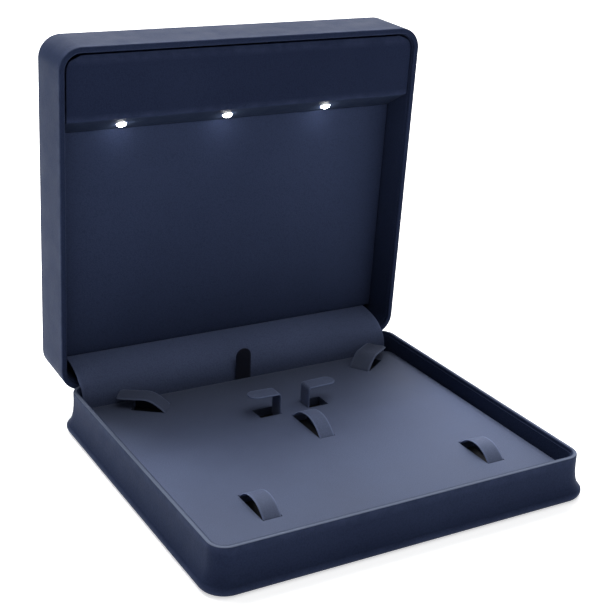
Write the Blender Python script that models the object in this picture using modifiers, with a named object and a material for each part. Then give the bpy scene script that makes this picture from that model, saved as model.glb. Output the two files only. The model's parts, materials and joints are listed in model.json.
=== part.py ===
"""Jewelry gift box with a lit, hinged lid and a lift-out insert that holds a whole set.

Run in Blender 4.5. Units are metres, +Z is up, +X is to the right and +Y is towards the hinge.
The origin is the middle of the underside, so the box stands on z = 0. The lid is modelled
closed, in coordinates measured from the hinge axis, and its parent empty then swings it open.
"""

import math

import bmesh
import bpy
from mathutils import Matrix, Vector

# ---- driving dimensions ----
GAP = 0.0003                      # between pieces that touch or rest on each other

RIM_WIDTH = 0.210                 # tray, outside of the rim
RIM_DEPTH = 0.186
BASE_HEIGHT = 0.024
BASE_WALL = 0.0032
BASE_FLOOR = 0.0030
BASE_CORNER = 0.0092
FLARE = 0.0040                    # how far the foot stands out beyond the rim

LID_OVERHANG = 0.0035             # lid outline beyond the tray's rim, at the sides and the back
LID_FRONT_OVERHANG = 0.0035
LID_HEIGHT = 0.0350
LID_WALL = 0.0036
LID_TOP = 0.0025
LID_CORNER = 0.0125
OPEN_ANGLE = math.radians(87.0)

PAD_DROP = 0.0101                 # pad surface below the tray's rim
PAD_THICKNESS = 0.0047
BOARD_THICKNESS = 0.0015
LAYOUT_X = 0.0055                 # the holders sit a little right of the middle
STRAP_THICKNESS = 0.0009

HINGE_X = 0.052
HINGE_HALF_LENGTH = 0.014
KNUCKLE_RADIUS = 0.0020
PIN_RADIUS = 0.0009
LEAF_THICKNESS = 0.0008

PANEL_DEPTH = 0.0200              # lid's back panel, below the lid's rim plane
PANEL_THICKNESS = 0.0020
HEADER_FRONT = 0.0012             # the header's face, set back from the lid's rim plane
HEADER_HEIGHT = 0.0347            # the face, measured along the lid
SOFFIT_RUN = 0.0107               # how far the light strip slopes back along the lid
LED_SPACING = 0.0627
LED_X = -0.0075                    # the middle lamp, left of the lid's middle
LED_RADIUS = 0.0027

CORNER_STEPS = 7
COLLECTION = "jewelry_gift_box"

# ---- places that follow from them ----
RIM_X = RIM_WIDTH / 2
RIM_Y = RIM_DEPTH / 2
TRAY_X = RIM_X - BASE_WALL
TRAY_Y = RIM_Y - BASE_WALL
PAD_TOP = BASE_HEIGHT - PAD_DROP
PAD_BOTTOM = PAD_TOP - PAD_THICKNESS
BOARD_BOTTOM = PAD_BOTTOM - GAP - BOARD_THICKNESS
COVER_FOOT_Y = RIM_Y - 0.0078     # where the hinge cover meets the pad
PAD_BACK_Y = COVER_FOOT_Y - 0.0019
PAD_X = TRAY_X - 0.0005
PAD_FRONT_Y = -TRAY_Y + 0.0005

HINGE_Y = RIM_Y
HINGE_Z = BASE_HEIGHT + GAP / 2
LID_Z = BASE_HEIGHT + GAP         # the closed lid's rim plane
LID_X = RIM_X + LID_OVERHANG
LID_BACK_Y = RIM_Y + LID_OVERHANG
LID_FRONT_Y = -RIM_Y - LID_FRONT_OVERHANG
LID_INNER_X = LID_X - LID_WALL
LID_INNER_Y = LID_BACK_Y - LID_WALL
LID_CEILING = LID_Z + LID_HEIGHT - LID_TOP
PANEL_Z = LID_Z + PANEL_DEPTH
PANEL_BACK_Y = LID_BACK_Y - 0.0118
HEADER_X = LID_INNER_X - 0.0009
HEADER_FRONT_Y = LID_FRONT_Y + LID_WALL + 0.0009
HEADER_BACK_Y = HEADER_FRONT_Y + HEADER_HEIGHT
HEADER_Z = LID_Z + HEADER_FRONT
SWITCH_X = 0.080
SWITCH_Y = LID_INNER_Y - 0.0018


# ---- scene and materials ----
def clear_scene():
    for old in list(bpy.data.objects):
        bpy.data.objects.remove(old)


def collection(name):
    group = bpy.data.collections.new(name)
    bpy.context.scene.collection.children.link(group)
    return group


def material(name, colour, roughness, metallic=0.0, emission=0.0):
    made = bpy.data.materials.new(name)
    made.use_nodes = True
    shader = made.node_tree.nodes["Principled BSDF"]
    shader.inputs["Base Color"].default_value = (*colour, 1.0)
    shader.inputs["Roughness"].default_value = roughness
    shader.inputs["Metallic"].default_value = metallic
    shader.inputs["Emission Color"].default_value = (*colour, 1.0)
    shader.inputs["Emission Strength"].default_value = emission
    return made


clear_scene()
PARTS = collection(COLLECTION)
CUTTERS = collection("cutters")

LEATHERETTE = material("navy_leatherette", (0.030, 0.042, 0.085), 0.55)
SUEDE = material("navy_suede", (0.050, 0.068, 0.130), 0.90)
CARD = material("dark_card", (0.030, 0.030, 0.036), 0.85)
FELT = material("black_felt", (0.015, 0.015, 0.020), 0.95)
STEEL = material("hinge_steel", (0.62, 0.62, 0.64), 0.32, 1.0)
SPRING = material("spring_steel", (0.35, 0.35, 0.37), 0.38, 1.0)
LENS = material("led_lens", (0.96, 0.98, 1.0), 0.15, 0.0, 3.0)
BOARD = material("circuit_board", (0.020, 0.120, 0.050), 0.45)
PLASTIC = material("black_plastic", (0.020, 0.020, 0.022), 0.50)
CELL = material("cell_steel", (0.70, 0.70, 0.70), 0.25, 1.0)
RED_WIRE = material("red_wire", (0.45, 0.02, 0.02), 0.45)
BLACK_WIRE = material("black_wire", (0.02, 0.02, 0.02), 0.45)

LID_PIVOT = bpy.data.objects.new("lid_pivot", None)
LID_PIVOT.location = (0.0, HINGE_Y, HINGE_Z)
LID_PIVOT.rotation_euler = (-OPEN_ANGLE, 0.0, 0.0)
PARTS.objects.link(LID_PIVOT)


# ---- modelling helpers ----
def add_object(name, mesh, finish, group=PARTS):
    made = bpy.data.objects.new(name, mesh)
    group.objects.link(made)
    if finish:
        mesh.materials.append(finish)
    mesh.shade_smooth()
    mesh.set_sharp_from_angle(angle=math.radians(35.0))
    return made


def mesh_from(bm, name):
    bmesh.ops.recalc_face_normals(bm, faces=bm.faces)
    mesh = bpy.data.meshes.new(name)
    bm.to_mesh(mesh)
    bm.free()
    return mesh


def on_lid(made):
    """Hang a piece modelled at its closed place from the lid's pivot."""
    made.parent = LID_PIVOT
    made.location = made.location - LID_PIVOT.location
    return made


def rounded_ring(half_x, half_y, radius, steps=CORNER_STEPS):
    """Points round a rounded rectangle, anticlockwise from its right side."""
    points = []
    for corner in range(4):
        sign_x = (1, -1, -1, 1)[corner]
        sign_y = (1, 1, -1, -1)[corner]
        for step in range(steps + 1):
            angle = math.pi / 2 * (corner + step / steps)
            points.append((sign_x * (half_x - radius) + radius * math.cos(angle),
                           sign_y * (half_y - radius) + radius * math.sin(angle)))
    return points


def loft(name, sections, finish, centre_y=0.0, closed=False):
    """A body through rounded rectangles, each given as (half_x, half_y, radius, z)."""
    bm = bmesh.new()
    rings = []
    for half_x, half_y, radius, z in sections:
        ring = [bm.verts.new((x, y + centre_y, z)) for x, y in rounded_ring(half_x, half_y, radius)]
        rings.append(ring)
    pairs = list(zip(rings, rings[1:]))
    if closed:
        pairs.append((rings[-1], rings[0]))
    else:
        bm.faces.new(rings[0])
        bm.faces.new(rings[-1])
    for lower, upper in pairs:
        for i in range(len(lower)):
            j = (i + 1) % len(lower)
            bm.faces.new((lower[i], lower[j], upper[j], upper[i]))
    return add_object(name, mesh_from(bm, name), finish)


def box(name, low, high, finish, group=PARTS):
    bm = bmesh.new()
    size = [b - a for a, b in zip(low, high)]
    centre = [(a + b) / 2 for a, b in zip(low, high)]
    bmesh.ops.create_cube(bm, size=1.0, matrix=Matrix.Translation(centre) @ Matrix.Diagonal((*size, 1.0)))
    return add_object(name, mesh_from(bm, name), finish, group)


def cylinder(name, radius, start, end, finish, group=PARTS, segments=24):
    """A round rod from one point to another."""
    a, b = Vector(start), Vector(end)
    bm = bmesh.new()
    turn = (b - a).to_track_quat("Z", "Y").to_matrix().to_4x4()
    bmesh.ops.create_cone(bm, cap_ends=True, segments=segments, radius1=radius, radius2=radius,
                          depth=(b - a).length, matrix=Matrix.Translation((a + b) / 2) @ turn)
    return add_object(name, mesh_from(bm, name), finish, group)


def cut(target, cutter, operation="DIFFERENCE"):
    cutter.hide_render = True
    cutter.display_type = "WIRE"
    step = target.modifiers.new(cutter.name, "BOOLEAN")
    step.operation = operation
    step.object = cutter


def plate(name, outline, thickness, finish):
    """A flat outline in XY, given as (x, y) points, made into a plate that stands on z = 0."""
    curve = bpy.data.curves.new(name, "CURVE")
    curve.dimensions = "2D"
    curve.fill_mode = "BOTH"
    curve.extrude = thickness / 2
    spline = curve.splines.new("POLY")
    spline.points.add(len(outline) - 1)
    for point, (x, y) in zip(spline.points, outline):
        point.co = (x, y, 0.0, 1.0)
    spline.use_cyclic_u = True
    guide = bpy.data.objects.new(name + "_outline", curve)
    PARTS.objects.link(guide)
    flat = bpy.data.meshes.new_from_object(guide.evaluated_get(bpy.context.evaluated_depsgraph_get()))
    bpy.data.objects.remove(guide)
    bm = bmesh.new()
    bm.from_mesh(flat)
    bmesh.ops.remove_doubles(bm, verts=bm.verts, dist=1e-6)
    bmesh.ops.translate(bm, verts=bm.verts, vec=(0.0, 0.0, thickness / 2))
    return add_object(name, mesh_from(bm, name), finish)


def ribbon(name, path, side, widths, thickness, finish):
    """A strip along a path, as wide as each point says, with its thickness shared by both faces."""
    bm = bmesh.new()
    across = Vector(side).normalized()
    rows = []
    for point, width in zip(path, widths):
        rows.append([bm.verts.new(Vector(point) + across * width * f) for f in (-0.5, 0.0, 0.5)])
    for lower, upper in zip(rows, rows[1:]):
        for i in range(2):
            bm.faces.new((lower[i], lower[i + 1], upper[i + 1], upper[i]))
    made = add_object(name, mesh_from(bm, name), finish)
    shell = made.modifiers.new("thickness", "SOLIDIFY")
    shell.thickness = thickness
    shell.offset = 0.0
    shell.use_even_offset = True
    return made


def wire(name, radius, points, finish):
    """A lead through its points, on a smooth curve."""
    curve = bpy.data.curves.new(name, "CURVE")
    curve.dimensions = "3D"
    curve.bevel_depth = radius
    curve.bevel_resolution = 2
    curve.use_fill_caps = True
    spline = curve.splines.new("POLY")
    spline.points.add(len(points) - 1)
    for point, place in zip(spline.points, points):
        point.co = (*place, 1.0)
    made = bpy.data.objects.new(name, curve)
    PARTS.objects.link(made)
    curve.materials.append(finish)
    return made


def smooth_route(knots, steps):
    """Catmull-Rom points through the knots, with a number of steps between two of them."""
    ends = [knots[0], *knots, knots[-1]]
    points = []
    for i in range(len(knots) - 1):
        a, b, c, d = (Vector(p) for p in ends[i:i + 4])
        for step in range(steps):
            t = step / steps
            points.append(0.5 * ((2 * b) + (c - a) * t + (2 * a - 5 * b + 4 * c - d) * t * t
                                 + (3 * b - a - 3 * c + d) * t ** 3))
    points.append(Vector(knots[-1]))
    return points


def round_end(count, width, tail):
    """Widths for a strip whose last rows close in a half circle, tail rows long."""
    widths = [width] * (count - tail)
    for i in range(1, tail + 1):
        widths.append(width * max(math.sqrt(max(1.0 - (i / tail) ** 2, 0.0)), 0.16))
    return widths


# ---- the tray ----
def base_shell():
    """Flared tray: cavity floor, inner wall, flat rim, outer wall down to a rolled foot, recess."""
    def outer(offset, z):
        return (RIM_X + offset, RIM_Y + offset, BASE_CORNER + offset, z)

    recess_x = RIM_X - 0.0050
    recess_y = RIM_Y - 0.0050
    flared = [(0.0, 0.0160), (0.0002, 0.0130), (0.0007, 0.0100), (0.0014, 0.0078), (0.0022, 0.0063),
              (0.0026, 0.0056), (0.0034, 0.0049), (FLARE, 0.0036), (0.0039, 0.0024), (0.0033, 0.0012),
              (0.0023, 0.0004), (0.0012, 0.0)]
    sections = [
        (TRAY_X - 0.0010, TRAY_Y - 0.0010, BASE_CORNER - BASE_WALL - 0.0010, BASE_FLOOR),
        outer(-BASE_WALL, BASE_FLOOR + 0.0010),
        outer(-BASE_WALL, BASE_HEIGHT - 0.0007),
        outer(-BASE_WALL + 0.0002, BASE_HEIGHT - 0.0002),
        outer(-BASE_WALL + 0.0007, BASE_HEIGHT),
        outer(-0.0008, BASE_HEIGHT),
        outer(-0.00023, BASE_HEIGHT - 0.00023),
        outer(0.0, BASE_HEIGHT - 0.0008),
        *[outer(offset, z) for offset, z in flared],
        (recess_x, recess_y, BASE_CORNER - 0.0050, 0.0),
        (recess_x, recess_y, BASE_CORNER - 0.0050, 0.0013),
    ]
    shell = loft("base_shell", sections, LEATHERETTE)
    for side in (-1, 1):
        middle = side * HINGE_X
        half = HINGE_HALF_LENGTH + 0.0006
        notch = box(f"base_hinge_notch_{side}", (middle - half, TRAY_Y - 0.003, BASE_HEIGHT - 0.0031),
                    (middle + half, RIM_Y + 0.004, BASE_HEIGHT + 0.006), None, CUTTERS)
        cut(shell, notch)
    cover_x = recess_x - GAP
    cover_y = recess_y - GAP
    corner = BASE_CORNER - 0.0050 - GAP
    loft("base_bottom_cover", [(cover_x, cover_y, corner, 0.0), (cover_x, cover_y, corner, 0.0010)], FELT)


def under_the_insert():
    """The card frame that the insert rests on, and the strip that the hinge cover is glued to."""
    top = BOARD_BOTTOM - GAP
    low = BASE_FLOOR + GAP
    half_y = (PAD_BACK_Y - PAD_FRONT_Y) / 2
    middle_y = (PAD_BACK_Y + PAD_FRONT_Y) / 2
    outside = (PAD_X - 0.0010, half_y - 0.0004, 0.0048)
    inside = (PAD_X - 0.0090, half_y - 0.0084, 0.0020)
    loft("riser_frame", [(*outside, low), (*outside, top), (*inside, top), (*inside, low)],
         CARD, middle_y, closed=True)
    box("cover_anchor_strip", (-0.0960, COVER_FOOT_Y + 0.0014, low), (0.0960, TRAY_Y - 0.0012, 0.0085), CARD)


# ---- hinges ----
def knuckle(name, start_x, end_x, finish):
    return cylinder(name, KNUCKLE_RADIUS, (start_x, HINGE_Y, HINGE_Z), (end_x, HINGE_Y, HINGE_Z),
                    finish, CUTTERS, 20)


def hinge(label, middle):
    """One sprung hinge: two leaves with two knuckles each, a pin and a torsion spring on it."""
    reach = HINGE_HALF_LENGTH
    base_spans = ((-reach, -0.0100), (0.0100, reach))
    lid_spans = ((-0.0097, -0.0065), (0.0065, 0.0097))
    plate_y = TRAY_Y - GAP - LEAF_THICKNESS
    shelf_z = BASE_HEIGHT - 0.0024
    leaf = box(f"hinge_base_leaf_{label}", (middle - reach, plate_y, 0.0095),
               (middle + reach, plate_y + LEAF_THICKNESS, shelf_z + 0.0004), STEEL)
    for i, (a, b) in enumerate(base_spans):
        arm = box(f"base_arm_{label}_{i}", (middle + a, plate_y, shelf_z),
                  (middle + b, HINGE_Y + 0.0006, shelf_z + 0.0010), None, CUTTERS)
        cut(leaf, arm, "UNION")
        cut(leaf, knuckle(f"base_knuckle_{label}_{i}", middle + a, middle + b, None), "UNION")
    bore = cylinder(f"base_bore_{label}", PIN_RADIUS + 0.0001, (middle - 0.02, HINGE_Y, HINGE_Z),
                    (middle + 0.02, HINGE_Y, HINGE_Z), None, CUTTERS)
    cut(leaf, bore)

    lid_plate_y = LID_INNER_Y - GAP - LEAF_THICKNESS
    lid_leaf = box(f"hinge_lid_leaf_{label}", (middle - 0.0097, lid_plate_y, HINGE_Z + 0.0028),
                   (middle + 0.0097, lid_plate_y + LEAF_THICKNESS, HINGE_Z + 0.0140), STEEL)
    for i, (a, b) in enumerate(lid_spans):
        arm = box(f"lid_arm_{label}_{i}", (middle + a, lid_plate_y, HINGE_Z + 0.0012),
                  (middle + b, lid_plate_y + LEAF_THICKNESS, HINGE_Z + 0.0030), None, CUTTERS)
        cut(lid_leaf, on_lid(arm), "UNION")
        cut(lid_leaf, on_lid(knuckle(f"lid_knuckle_{label}_{i}", middle + a, middle + b, None)), "UNION")
    lid_bore = cylinder(f"lid_bore_{label}", PIN_RADIUS + 0.0001, (middle - 0.02, HINGE_Y, HINGE_Z),
                        (middle + 0.02, HINGE_Y, HINGE_Z), None, CUTTERS)
    cut(lid_leaf, on_lid(lid_bore))
    on_lid(lid_leaf)

    pin_end = reach + 0.0004
    cylinder(f"hinge_pin_{label}", PIN_RADIUS, (middle - pin_end, HINGE_Y, HINGE_Z),
             (middle + pin_end, HINGE_Y, HINGE_Z), STEEL, segments=20)

    coil_radius = 0.00185
    turns = 5
    steps = 12 * turns
    half = 0.0056
    points = [(middle - half, HINGE_Y - 0.0034, HINGE_Z - coil_radius)]
    for step in range(steps + 1):
        angle = 2 * math.pi * step / 12
        points.append((middle - half + 2 * half * step / steps, HINGE_Y - coil_radius * math.sin(angle),
                       HINGE_Z - coil_radius * math.cos(angle)))
    points.append((middle + half, HINGE_Y - 0.0030, HINGE_Z - coil_radius - 0.0002))
    wire(f"hinge_spring_{label}", 0.00025, points, SPRING)


def hinge_cover():
    """The curved leatherette apron that hides the hinges, from behind the insert to the lid's panel."""
    top = Vector((0.0, PANEL_BACK_Y + 0.0006, PANEL_Z + 0.0004)) - LID_PIVOT.location
    top = Matrix.Rotation(-OPEN_ANGLE, 3, "X") @ top + LID_PIVOT.location
    foot_y = COVER_FOOT_Y + 0.0004
    reach_y = top.y - foot_y
    rise = top.z - PAD_TOP
    path = [(0.0, foot_y, 0.0045), (0.0, foot_y, 0.0090)]
    steps = 14
    for step in range(steps + 1):
        angle = math.pi / 2 * step / steps
        path.append((0.0, top.y - reach_y * math.cos(angle), PAD_TOP + rise * math.sin(angle) ** 0.75))
    ribbon("hinge_cover", path, (1, 0, 0), [2 * (TRAY_X - 0.0024)] * len(path), 0.0009, LEATHERETTE)


# ---- the insert ----
def arch_path(middle, direction, half_span, height):
    """Up out of one slot, over in an arch and down into the other."""
    sunk = PAD_BOTTOM + 0.0006
    path = [Vector((*(middle - direction * half_span), sunk))]
    steps = 14
    for step in range(steps + 1):
        along = math.sin(math.pi / 2 * (2 * step / steps - 1.0))
        rise = height * (1.0 - abs(along) ** 2.2)
        path.append(Vector((*(middle + direction * half_span * along), PAD_TOP + rise)))
    path.append(Vector((*(middle + direction * half_span), sunk)))
    return path


def strap_slot(place, direction, width):
    """A cutter for the slot in the pad that a strap's end goes down."""
    bm = bmesh.new()
    angle = math.atan2(direction.y, direction.x)
    size = Matrix.Diagonal((STRAP_THICKNESS + 0.0012, width + 0.0008, PAD_THICKNESS * 3, 1.0))
    turn = Matrix.Rotation(angle, 4, "Z")
    bmesh.ops.create_cube(bm, size=1.0, matrix=Matrix.Translation((*place, PAD_TOP)) @ turn @ size)
    name = f"slot_{len(CUTTERS.objects)}"
    return add_object(name, mesh_from(bm, name), None, CUTTERS)


def insert():
    half_y = (PAD_BACK_Y - PAD_FRONT_Y) / 2
    middle_y = (PAD_BACK_Y + PAD_FRONT_Y) / 2
    corner = BASE_CORNER - BASE_WALL - 0.0005

    def layer(inset, z):
        return (PAD_X - inset, half_y - inset, corner - inset, z)

    loft("insert_board", [layer(0.0004, BOARD_BOTTOM), layer(0.0004, PAD_BOTTOM - GAP)], CARD, middle_y)
    pad = loft("insert_pad", [layer(0.0, PAD_BOTTOM), layer(0.0, PAD_TOP - 0.0009),
                              layer(0.00027, PAD_TOP - 0.00027), layer(0.0009, PAD_TOP)], SUEDE, middle_y)

    def strap(name, middle, direction, half_span, height, width):
        side = (-direction.y, direction.x, 0.0)
        path = arch_path(middle, direction, half_span, height)
        ribbon(name, path, side, [width] * len(path), STRAP_THICKNESS, SUEDE)
        for end in (-1, 1):
            cut(pad, strap_slot(middle + direction * half_span * end, direction, width))

    back = Vector((0.0, 1.0))
    for label, sign in (("left", -1), ("right", 1)):
        strap(f"bracelet_strap_{label}", Vector((LAYOUT_X + sign * 0.0661, -0.0513)), back,
              0.0124, 0.0066, 0.0100)
    strap("ring_strap", Vector((LAYOUT_X + 0.0004, 0.0126)), back, 0.0148, 0.0078, 0.0090)

    for label, sign in (("left", -1), ("right", 1)):
        earring_flap(pad, label, sign)
        necklace_tongue(pad, label, sign)

    tab_y = PAD_BACK_Y + 0.0007
    top_z = PAD_TOP + 0.0185
    heights = [BOARD_BOTTOM, PAD_TOP, PAD_TOP + 0.0070]
    heights += [top_z - 0.0049 + 0.0049 * math.sin(math.pi / 2 * i / 6) for i in range(7)]
    widths = [0.0098] * 3 + [0.0098 * max(math.cos(math.pi / 2 * i / 6), 0.14) for i in range(7)]
    ribbon("pull_tab", [(-0.0005, tab_y, z) for z in heights], (1, 0, 0), widths, 0.0008, SUEDE)


def earring_flap(pad, label, sign):
    """A strap that stands up out of the pad and turns over outwards into a flat leaf."""
    leg_x = LAYOUT_X + sign * 0.0091
    y = 0.0372
    width = 0.0100
    height = 0.0115
    bend = 0.0016
    path = [(leg_x, y, PAD_BOTTOM + 0.0006), (leg_x, y, PAD_TOP), (leg_x, y, PAD_TOP + height - bend)]
    for step in range(1, 5):
        angle = math.pi / 2 * step / 4
        path.append((leg_x + sign * bend * (1 - math.cos(angle)), y,
                     PAD_TOP + height - bend + bend * math.sin(angle)))
    leaf = 0.0165
    tail = 7
    flat = leaf - width / 2
    path.append((leg_x + sign * (bend + flat * 0.5), y, PAD_TOP + height + 0.0002))
    path.append((leg_x + sign * (bend + flat), y, PAD_TOP + height + 0.0004))
    for i in range(1, tail + 1):
        path.append((leg_x + sign * (bend + flat + width / 2 * i / tail), y, PAD_TOP + height + 0.0005))
    ribbon(f"earring_flap_{label}", path, (0, 1, 0), round_end(len(path), width, tail),
           STRAP_THICKNESS, SUEDE)
    cut(pad, strap_slot(Vector((leg_x, y)), Vector((1.0, 0.0)), width))


def necklace_tongue(pad, label, sign):
    """A tongue cut loose on three sides, which bends up over the chain and points outwards."""
    root = Vector((LAYOUT_X + sign * 0.0629, 0.0655))
    tip = Vector((LAYOUT_X + sign * 0.0855, 0.0815))
    direction = (tip - root).normalized()
    length = (tip - root).length
    width = 0.0130
    tail = 7
    stops = [0.0, 0.06, 0.14, 0.24, 0.36, 0.50, 0.64, 1.0 - width / 2 / length]
    stops += [1.0 - width / 2 / length * (1.0 - i / tail) for i in range(1, tail + 1)]
    path = [Vector((*root, PAD_BOTTOM + 0.0006))]
    for along in stops:
        rise = 0.0068 * math.sin(math.pi / 2 * min(along / 0.45, 1.0)) - 0.0012 * max(along - 0.45, 0.0)
        path.append(Vector((*(root + direction * length * along), PAD_TOP + rise)))
    ribbon(f"necklace_tongue_{label}", path, (-direction.y, direction.x, 0.0),
           round_end(len(path), width, tail), STRAP_THICKNESS, SUEDE)
    cut(pad, strap_slot(root, direction, width))


# ---- the lid ----
def lid_shell():
    half_y = (LID_BACK_Y - LID_FRONT_Y) / 2
    middle_y = (LID_BACK_Y + LID_FRONT_Y) / 2

    def outer(offset, z):
        return (LID_X + offset, half_y + offset, LID_CORNER + offset, z)

    top = LID_Z + LID_HEIGHT
    edge = 0.0030
    rounded = []
    for step in range(6):
        angle = math.pi / 2 * step / 5
        rounded.append(outer(-edge * (1 - math.cos(angle)), top - edge + edge * math.sin(angle)))
    sections = [
        outer(-LID_WALL - 0.0010, LID_CEILING),
        outer(-LID_WALL, LID_CEILING - 0.0010),
        outer(-LID_WALL, LID_Z + 0.0007),
        outer(-LID_WALL + 0.0002, LID_Z + 0.0002),
        outer(-LID_WALL + 0.0007, LID_Z),
        outer(-0.0008, LID_Z),
        outer(-0.00023, LID_Z + 0.00023),
        outer(0.0, LID_Z + 0.0008),
        *rounded,
    ]
    shell = loft("lid_shell", sections, LEATHERETTE, middle_y)
    for side in (-1, 1):
        middle = side * HINGE_X
        half = HINGE_HALF_LENGTH + 0.0006
        notch = box(f"lid_hinge_notch_{side}", (middle - half, LID_INNER_Y - 0.003, LID_Z - 0.004),
                    (middle + half, LID_BACK_Y + 0.003, LID_Z + 0.0028), None, CUTTERS)
        cut(shell, on_lid(notch))
    on_lid(shell)


def lid_panel():
    """The flat lining board that closes the lid's back, on two card strips."""
    front_y = HEADER_BACK_Y + SOFFIT_RUN
    on_lid(box("lid_back_panel", (-LID_INNER_X + 0.0007, front_y, PANEL_Z),
               (LID_INNER_X - 0.0007, PANEL_BACK_Y, PANEL_Z + PANEL_THICKNESS), LEATHERETTE))
    for label, sign in (("left", -1), ("right", 1)):
        low = (min(sign * 0.0950, sign * 0.1030), front_y + 0.002, PANEL_Z + PANEL_THICKNESS + GAP)
        high = (max(sign * 0.0950, sign * 0.1030), PANEL_BACK_Y - 0.006, LID_CEILING - GAP)
        on_lid(box(f"panel_spacer_{label}", low, high, CARD))


def header():
    """The lit header: a face with two round corners, a sloped light strip and what they hide."""
    corner = LID_CORNER - LID_WALL - 0.0009
    outline = [(-HEADER_X, HEADER_BACK_Y), (HEADER_X, HEADER_BACK_Y)]
    for sign, first in ((1, 0.0), (-1, math.pi / 2)):
        for step in range(CORNER_STEPS + 1):
            angle = first + math.pi / 2 * step / CORNER_STEPS
            outline.append((sign * (HEADER_X - corner) + corner * math.cos(angle),
                            HEADER_FRONT_Y + corner - corner * math.sin(angle)))
    face = plate("header_fascia", outline, 0.0020, LEATHERETTE)
    face.location.z = HEADER_Z
    on_lid(face)

    start = Vector((0.0, HEADER_BACK_Y, HEADER_Z + 0.0020 + GAP))
    end = Vector((0.0, HEADER_BACK_Y + SOFFIT_RUN, PANEL_Z - GAP))
    slope = (end - start).normalized()
    outward = Vector((0.0, slope.z, -slope.y))
    thickness = 0.0014
    steps = [start, end]
    strip = ribbon("light_soffit", [p - outward * thickness / 2 for p in steps], (1, 0, 0),
                   [2 * HEADER_X] * 2, thickness, LEATHERETTE)
    middle = (start + end) / 2
    leds = (("left", LED_X - LED_SPACING), ("center", LED_X), ("right", LED_X + LED_SPACING))
    for label, x in leds:
        seat = middle + Vector((x, 0.0, 0.0))
        hole = cylinder(f"led_hole_{label}", LED_RADIUS + GAP, seat - outward * 0.004, seat + outward * 0.004,
                        None, CUTTERS)
        cut(strip, on_lid(hole))
        on_lid(led(f"led_{label}", seat, outward))
    on_lid(strip)
    behind = middle - outward * 0.0042
    board = box("led_board", (-0.0750, -0.0035, -0.0005), (0.0650, 0.0035, 0.0005), BOARD)
    board.rotation_euler = (math.atan2(slope.z, slope.y), 0.0, 0.0)
    board.location = behind
    on_lid(board)
    power(behind)


def led(name, seat, outward):
    """A domed lamp: collar, barrel and dome, turned about its own axis."""
    radius = LED_RADIUS
    collar = radius + 0.0007
    bm = bmesh.new()
    profile = [(0.0, -0.0034), (collar, -0.0034), (collar, -0.0022), (radius, -0.0022), (radius, 0.0004)]
    for step in range(1, 6):
        angle = math.pi / 2 * step / 5
        profile.append((radius * math.cos(angle), 0.0004 + 0.6 * radius * math.sin(angle)))
    profile[-1] = (0.0, profile[-1][1])
    points = [bm.verts.new((r, 0.0, z)) for r, z in profile]
    for a, b in zip(points, points[1:]):
        bm.edges.new((a, b))
    bmesh.ops.spin(bm, geom=bm.verts[:] + bm.edges[:], cent=(0, 0, 0), axis=(0, 0, 1),
                   angle=2 * math.pi, steps=20, use_merge=True)
    bmesh.ops.remove_doubles(bm, verts=bm.verts, dist=1e-6)
    made = add_object(name, mesh_from(bm, name), LENS)
    made.rotation_euler = outward.to_track_quat("Z", "Y").to_euler()
    made.location = seat
    return made


def power(board_place):
    """Battery holder with two coin cells on the lid's ceiling, and the leads to lamps and switch."""
    half_x = 0.0225
    y = (HEADER_FRONT_Y + HEADER_BACK_Y) / 2
    holder_z = LID_CEILING - GAP - 0.0080
    holder = box("battery_holder", (-half_x, y - 0.0125, holder_z), (half_x, y + 0.0125, LID_CEILING - GAP),
                 PLASTIC)
    for label, sign in (("left", -1), ("right", 1)):
        x = sign * 0.0110
        well = cylinder(f"cell_well_{label}", 0.0103, (x, y, holder_z - 0.002), (x, y, holder_z + 0.0040),
                        None, CUTTERS, 32)
        cut(holder, on_lid(well))
        on_lid(cylinder(f"coin_cell_{label}", 0.0100, (x, y, holder_z + 0.0005), (x, y, holder_z + 0.0037),
                        CELL, segments=32))
    on_lid(holder)
    side = half_x + 0.0006
    supply = smooth_route([(side, y + 0.004, holder_z + 0.004), (side + 0.008, y + 0.006, holder_z + 0.002),
                           (side + 0.014, board_place.y - 0.006, board_place.z + 0.003),
                           (side + 0.016, board_place.y - 0.0022, board_place.z + 0.0006)], 5)
    on_lid(wire("supply_lead", 0.0005, supply, RED_WIRE))
    above = PANEL_Z + PANEL_THICKNESS + 0.0030
    run = smooth_route([(-side, y, holder_z + 0.004), (-side - 0.010, y + 0.006, above + 0.001),
                        (-side - 0.022, HEADER_BACK_Y + 0.030, above), (-0.030, 0.010, above),
                        (0.050, 0.060, above), (SWITCH_X - 0.001, PANEL_BACK_Y - 0.006, above),
                        (SWITCH_X, SWITCH_Y - 0.0008, above - 0.001),
                        (SWITCH_X, SWITCH_Y, LID_Z + 0.0136)], 6)
    on_lid(wire("switch_lead", 0.0005, run, BLACK_WIRE))


def light_switch():
    """A small push switch on the lid's back wall: the tray's rim presses it when the lid closes."""
    body = box("light_switch_body", (SWITCH_X - 0.0045, SWITCH_Y - 0.0015, LID_Z + 0.0030),
               (SWITCH_X + 0.0045, SWITCH_Y + 0.0015, LID_Z + 0.0130), PLASTIC)
    well = cylinder("plunger_well", 0.0009, (SWITCH_X, SWITCH_Y, LID_Z + 0.002),
                    (SWITCH_X, SWITCH_Y, LID_Z + 0.0078), None, CUTTERS)
    cut(body, on_lid(well))
    on_lid(body)
    on_lid(cylinder("light_switch_plunger", 0.0008, (SWITCH_X, SWITCH_Y, LID_Z + 0.0001),
                    (SWITCH_X, SWITCH_Y, LID_Z + 0.0062), PLASTIC, segments=16))


base_shell()
under_the_insert()
hinge("left", -HINGE_X)
hinge("right", HINGE_X)
hinge_cover()
insert()
lid_shell()
lid_panel()
header()
light_switch()
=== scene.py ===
"""Looks for the jewelry gift box: leatherette, velvet, lamps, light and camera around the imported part."""

import json
import math

import bmesh
import bpy
import numpy as np
from mathutils import Matrix, Vector, noise


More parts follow.
